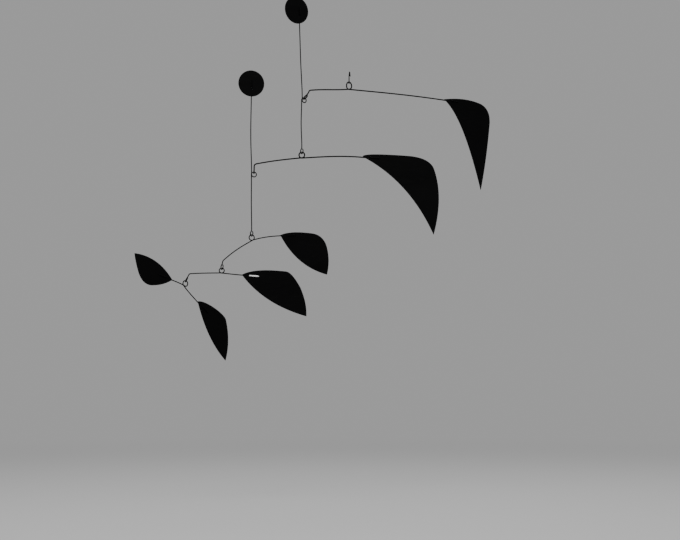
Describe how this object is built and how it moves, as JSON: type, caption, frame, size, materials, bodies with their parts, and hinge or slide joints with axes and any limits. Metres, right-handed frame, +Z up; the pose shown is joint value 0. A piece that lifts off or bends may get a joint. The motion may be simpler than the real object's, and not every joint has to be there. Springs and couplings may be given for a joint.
{
  "type": "hanging mobile sculpture",
  "caption": "Hanging mobile sculpture of bent black wire arms and upright rods linked by round eyes, carrying curved pointed sheet blades and small round sheet discs, black painted steel",
  "frame": {"origin": "underside of the top of the hanger's upper eye, where the mobile is held", "axes": "+Z up, +X to the right in the picture, +Y away from the viewer"},
  "size_m": [0.7916, 0.4706, 0.7957],
  "materials": {
    "black_wire": "satin black paint on steel wire",
    "black_sheet": "matt to satin black paint on thin steel sheet"
  },
  "bodies": {
    "hanger": {"hanger_link": "black_wire"},
    "arm_1": {"arm_1_wire": "black_wire", "blade_1": "black_sheet"},
    "rod_1": {"rod_1_wire": "black_wire", "disc_1": "black_sheet"},
    "arm_2": {"arm_2_wire": "black_wire", "blade_2": "black_sheet"},
    "rod_2": {"rod_2_wire": "black_wire", "disc_2": "black_sheet"},
    "arm_3": {"arm_3_wire": "black_wire", "blade_3": "black_sheet"},
    "arm_4": {"arm_4_wire": "black_wire", "blade_4": "black_sheet"},
    "arm_5": {"arm_5_wire": "black_wire", "blade_5_left": "black_sheet", "blade_5_right": "black_sheet"}
  },
  "joints": [
    {"name": "arm_1_turn", "type": "hinge", "parent": "hanger", "child": "arm_1", "pos_m": [-0.00123, 0, -0.02315], "axis": [0, 0, 1], "range_deg": [-60, 3]},
    {"name": "rod_1_turn", "type": "hinge", "parent": "arm_1", "child": "rod_1", "pos_m": [-0.10066, -0.07157, -0.07275], "axis": [0, 0, 1], "range_deg": [-25, 20]},
    {"name": "arm_2_turn", "type": "hinge", "parent": "rod_1", "child": "arm_2", "pos_m": [-0.1055, -0.07307, -0.19315], "axis": [0, 0, 1], "range_deg": [-5, 65]},
    {"name": "rod_2_turn", "type": "hinge", "parent": "arm_2", "child": "rod_2", "pos_m": [-0.21013, -0.08199, -0.23765], "axis": [0, 0, 1], "range_deg": [-25, 10]},
    {"name": "arm_3_turn", "type": "hinge", "parent": "rod_2", "child": "arm_3", "pos_m": [-0.2152, -0.08174, -0.37525], "axis": [0, 0, 1], "range_deg": [-25, 40]},
    {"name": "arm_4_turn", "type": "hinge", "parent": "arm_3", "child": "arm_4", "pos_m": [-0.27742, -0.11916, -0.45125], "axis": [0, 0, 1], "range_deg": [-10, 60]},
    {"name": "arm_5_turn", "type": "hinge", "parent": "arm_4", "child": "arm_5", "pos_m": [-0.35468, -0.13133, -0.47905], "axis": [0, 0, 1], "range_deg": [-60, 3]}
  ]
}
